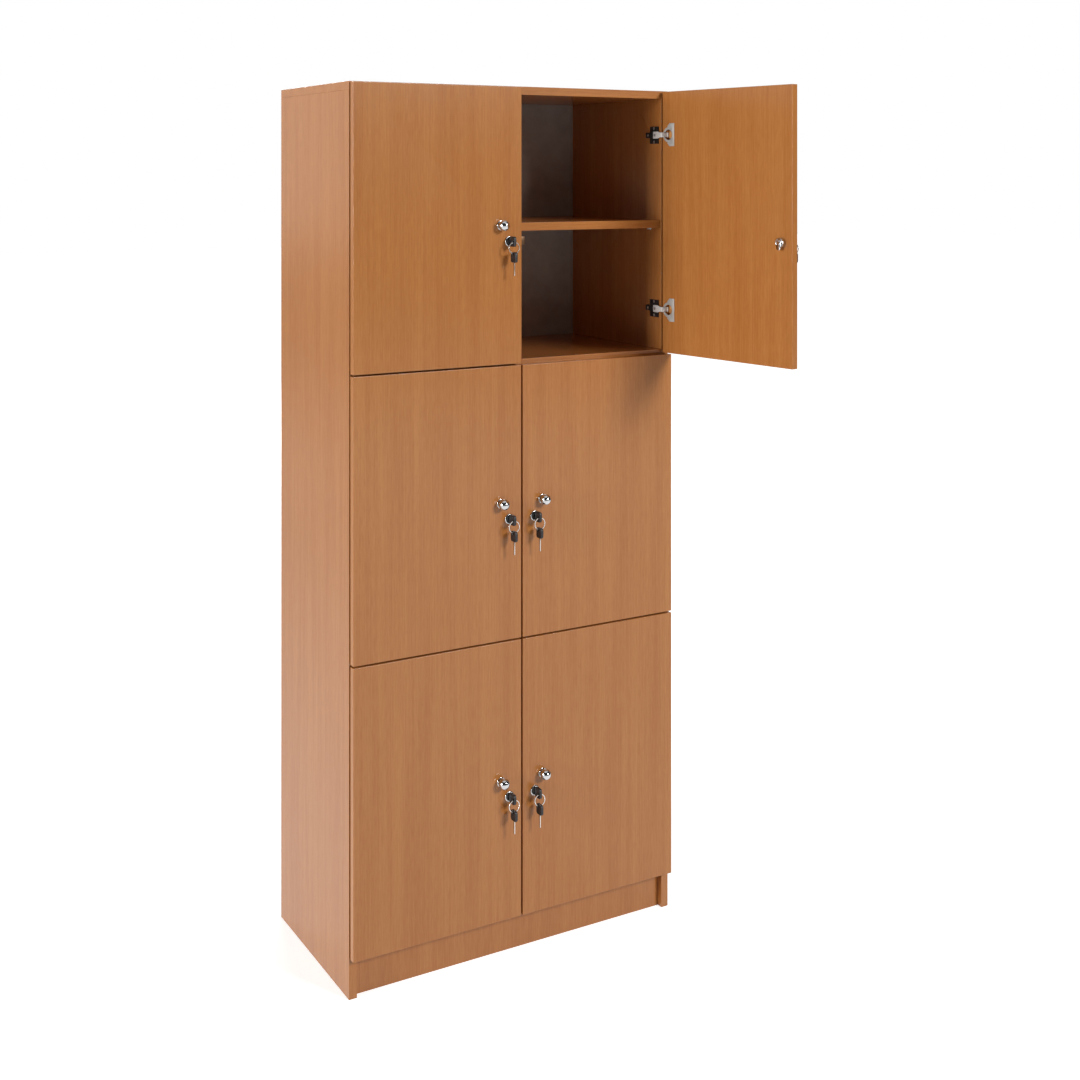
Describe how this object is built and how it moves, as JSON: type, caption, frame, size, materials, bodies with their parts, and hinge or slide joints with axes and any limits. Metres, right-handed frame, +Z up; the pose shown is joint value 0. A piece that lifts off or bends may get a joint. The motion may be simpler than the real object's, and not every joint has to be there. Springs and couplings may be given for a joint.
{
  "type": "compartment locker cabinet",
  "caption": "Tall cherry-finish board cabinet with lockable hinged doors in two columns, each compartment with a shelf, knob, cam lock and keys.",
  "frame": {"origin": "middle of the plinth board's underside, on the floor", "axes": "+X to the right as one faces the doors, +Y from the doors to the back, +Z up"},
  "size_m": [0.8872, 0.7997, 1.9],
  "materials": {
    "cherry_board": "cherry-coloured melamine on particle board, fine straight grain",
    "back_hardboard": "pale lacquered hardboard",
    "beech": "plain turned beech",
    "nickel_steel": "nickel-plated pressed steel",
    "zinc_casting": "raw zinc casting",
    "black_plate": "black lacquered steel",
    "bronzed_steel": "bronzed steel",
    "chrome": "polished chrome",
    "lock_steel": "nickel-plated lock parts",
    "key_plastic": "black moulded plastic on a steel blade",
    "key_steel": "nickel-plated key blades and rings"
  },
  "bodies": {
    "carcass": {"left_side_panel": "cherry_board", "right_side_panel": "cherry_board", "top_panel": "cherry_board", "bottom_panel": "cherry_board", "centre_partition": "cherry_board", "deck_panels": "cherry_board", "shelves": "cherry_board", "back_panel": "back_hardboard", "plinth_board": "cherry_board", "shelf_pins": "nickel_steel", "carcass_dowels": "beech", "cam_fittings": "zinc_casting", "back_nails": "nickel_steel", "hinge_plates": "black_plate", "hinge_arms": "nickel_steel", "hinge_screws": "nickel_steel", "lock_keepers": "bronzed_steel", "keeper_screws": "bronzed_steel"},
    "bottom_left_door": {"door_bottom_left": "cherry_board", "hinge_cups_bottom_left": "nickel_steel", "knob_bottom_left": "chrome", "lock_barrel_bottom_left": "chrome"},
    "bottom_left_lock": {"lock_cam_bottom_left": "lock_steel"},
    "bottom_left_key": {"key_bottom_left": "key_plastic"},
    "bottom_left_spare": {"spare_key_bottom_left": "key_plastic"},
    "bottom_right_door": {"door_bottom_right": "cherry_board", "hinge_cups_bottom_right": "nickel_steel", "knob_bottom_right": "chrome", "lock_barrel_bottom_right": "chrome"},
    "bottom_right_lock": {"lock_cam_bottom_right": "lock_steel"},
    "bottom_right_key": {"key_bottom_right": "key_plastic"},
    "bottom_right_spare": {"spare_key_bottom_right": "key_plastic"},
    "middle_left_door": {"door_middle_left": "cherry_board", "hinge_cups_middle_left": "nickel_steel", "knob_middle_left": "chrome", "lock_barrel_middle_left": "chrome"},
    "middle_left_lock": {"lock_cam_middle_left": "lock_steel"},
    "middle_left_key": {"key_middle_left": "key_plastic"},
    "middle_left_spare": {"spare_key_middle_left": "key_plastic"},
    "middle_right_door": {"door_middle_right": "cherry_board", "hinge_cups_middle_right": "nickel_steel", "knob_middle_right": "chrome", "lock_barrel_middle_right": "chrome"},
    "middle_right_lock": {"lock_cam_middle_right": "lock_steel"},
    "middle_right_key": {"key_middle_right": "key_plastic"},
    "middle_right_spare": {"spare_key_middle_right": "key_plastic"},
    "top_left_door": {"door_top_left": "cherry_board", "hinge_cups_top_left": "nickel_steel", "knob_top_left": "chrome", "lock_barrel_top_left": "chrome"},
    "top_left_lock": {"lock_cam_top_left": "lock_steel"},
    "top_left_key": {"key_top_left": "key_plastic"},
    "top_left_spare": {"spare_key_top_left": "key_plastic"},
    "top_right_door": {"door_top_right": "cherry_board", "hinge_cups_top_right": "nickel_steel", "knob_top_right": "chrome", "lock_barrel_top_right": "chrome"},
    "top_right_lock": {"lock_cam_top_right": "lock_steel"},
    "top_right_key": {"key_top_right": "key_plastic"},
    "top_right_spare": {"spare_key_top_right": "key_plastic"}
  },
  "joints": [
    {"name": "door_bottom_left", "type": "hinge", "parent": "carcass", "child": "bottom_left_door", "pos_m": [-0.3917, -0.03545, 0.3865], "axis": [0, 0, -1], "range_deg": [0, 100]},
    {"name": "lock_bottom_left", "type": "hinge", "parent": "bottom_left_door", "child": "bottom_left_lock", "pos_m": [-0.032, -0.0637, 0.3515], "axis": [0, -1, 0], "range_deg": [0, 90]},
    {"name": "key_bottom_left", "type": "slide", "parent": "bottom_left_lock", "child": "bottom_left_key", "axis": [0, -1, 0], "range_m": [0, 0.027]},
    {"name": "spare_bottom_left", "type": "hinge", "parent": "bottom_left_key", "child": "bottom_left_spare", "pos_m": [-0.032, -0.0637, 0.33785], "axis": [0, -1, 0], "range_deg": [-90, 0]},
    {"name": "door_bottom_right", "type": "hinge", "parent": "carcass", "child": "bottom_right_door", "pos_m": [0.3917, -0.03545, 0.3865], "axis": [0, 0, 1], "range_deg": [0, 100]},
    {"name": "lock_bottom_right", "type": "hinge", "parent": "bottom_right_door", "child": "bottom_right_lock", "pos_m": [0.032, -0.0637, 0.3515], "axis": [0, 1, 0], "range_deg": [0, 90]},
    {"name": "key_bottom_right", "type": "slide", "parent": "bottom_right_lock", "child": "bottom_right_key", "axis": [0, -1, 0], "range_m": [0, 0.027]},
    {"name": "spare_bottom_right", "type": "hinge", "parent": "bottom_right_key", "child": "bottom_right_spare", "pos_m": [0.032, -0.0637, 0.33785], "axis": [0, 1, 0], "range_deg": [-90, 0]},
    {"name": "door_middle_left", "type": "hinge", "parent": "carcass", "child": "middle_left_door", "pos_m": [-0.3917, -0.03545, 0.991], "axis": [0, 0, -1], "range_deg": [0, 100]},
    {"name": "lock_middle_left", "type": "hinge", "parent": "middle_left_door", "child": "middle_left_lock", "pos_m": [-0.032, -0.0637, 0.956], "axis": [0, -1, 0], "range_deg": [0, 90]},
    {"name": "key_middle_left", "type": "slide", "parent": "middle_left_lock", "child": "middle_left_key", "axis": [0, -1, 0], "range_m": [0, 0.027]},
    {"name": "spare_middle_left", "type": "hinge", "parent": "middle_left_key", "child": "middle_left_spare", "pos_m": [-0.032, -0.0637, 0.94234], "axis": [0, -1, 0], "range_deg": [-90, 0]},
    {"name": "door_middle_right", "type": "hinge", "parent": "carcass", "child": "middle_right_door", "pos_m": [0.3917, -0.03545, 0.991], "axis": [0, 0, 1], "range_deg": [0, 100]},
    {"name": "lock_middle_right", "type": "hinge", "parent": "middle_right_door", "child": "middle_right_lock", "pos_m": [0.032, -0.0637, 0.956], "axis": [0, 1, 0], "range_deg": [0, 90]},
    {"name": "key_middle_right", "type": "slide", "parent": "middle_right_lock", "child": "middle_right_key", "axis": [0, -1, 0], "range_m": [0, 0.027]},
    {"name": "spare_middle_right", "type": "hinge", "parent": "middle_right_key", "child": "middle_right_spare", "pos_m": [0.032, -0.0637, 0.94234], "axis": [0, 1, 0], "range_deg": [-90, 0]},
    {"name": "door_top_left", "type": "hinge", "parent": "carcass", "child": "top_left_door", "pos_m": [-0.3917, -0.03545, 1.5955], "axis": [0, 0, -1], "range_deg": [0, 100]},
    {"name": "lock_top_left", "type": "hinge", "parent": "top_left_door", "child": "top_left_lock", "pos_m": [-0.032, -0.0637, 1.5605], "axis": [0, -1, 0], "range_deg": [0, 90]},
    {"name": "key_top_left", "type": "slide", "parent": "top_left_lock", "child": "top_left_key", "axis": [0, -1, 0], "range_m": [0, 0.027]},
    {"name": "spare_top_left", "type": "hinge", "parent": "top_left_key", "child": "top_left_spare", "pos_m": [-0.032, -0.0637, 1.54685], "axis": [0, -1, 0], "range_deg": [-90, 0]},
    {"name": "door_top_right", "type": "hinge", "parent": "carcass", "child": "top_right_door", "pos_m": [0.3917, -0.03545, 1.5955], "axis": [0, 0, 1], "range_deg": [-99, 1]},
    {"name": "lock_top_right", "type": "hinge", "parent": "top_right_door", "child": "top_right_lock", "pos_m": [0.47588, -0.38631, 1.5605], "axis": [-0.9877, -0.1564, 0], "range_deg": [0, 90]},
    {"name": "key_top_right", "type": "slide", "parent": "top_right_lock", "child": "top_right_key", "axis": [0.9877, 0.1564, 0], "range_m": [0, 0.027]},
    {"name": "spare_top_right", "type": "hinge", "parent": "top_right_key", "child": "top_right_spare", "pos_m": [0.47588, -0.38631, 1.54685], "axis": [-0.9877, -0.1564, 0], "range_deg": [-90, 0]}
  ],
  "couplings": [
    {"joint": "spare_bottom_left", "follows": "lock_bottom_left", "ratio": -1},
    {"joint": "spare_bottom_right", "follows": "lock_bottom_right", "ratio": -1},
    {"joint": "spare_middle_left", "follows": "lock_middle_left", "ratio": -1},
    {"joint": "spare_middle_right", "follows": "lock_middle_right", "ratio": -1},
    {"joint": "spare_top_left", "follows": "lock_top_left", "ratio": -1},
    {"joint": "spare_top_right", "follows": "lock_top_right", "ratio": -1}
  ]
}
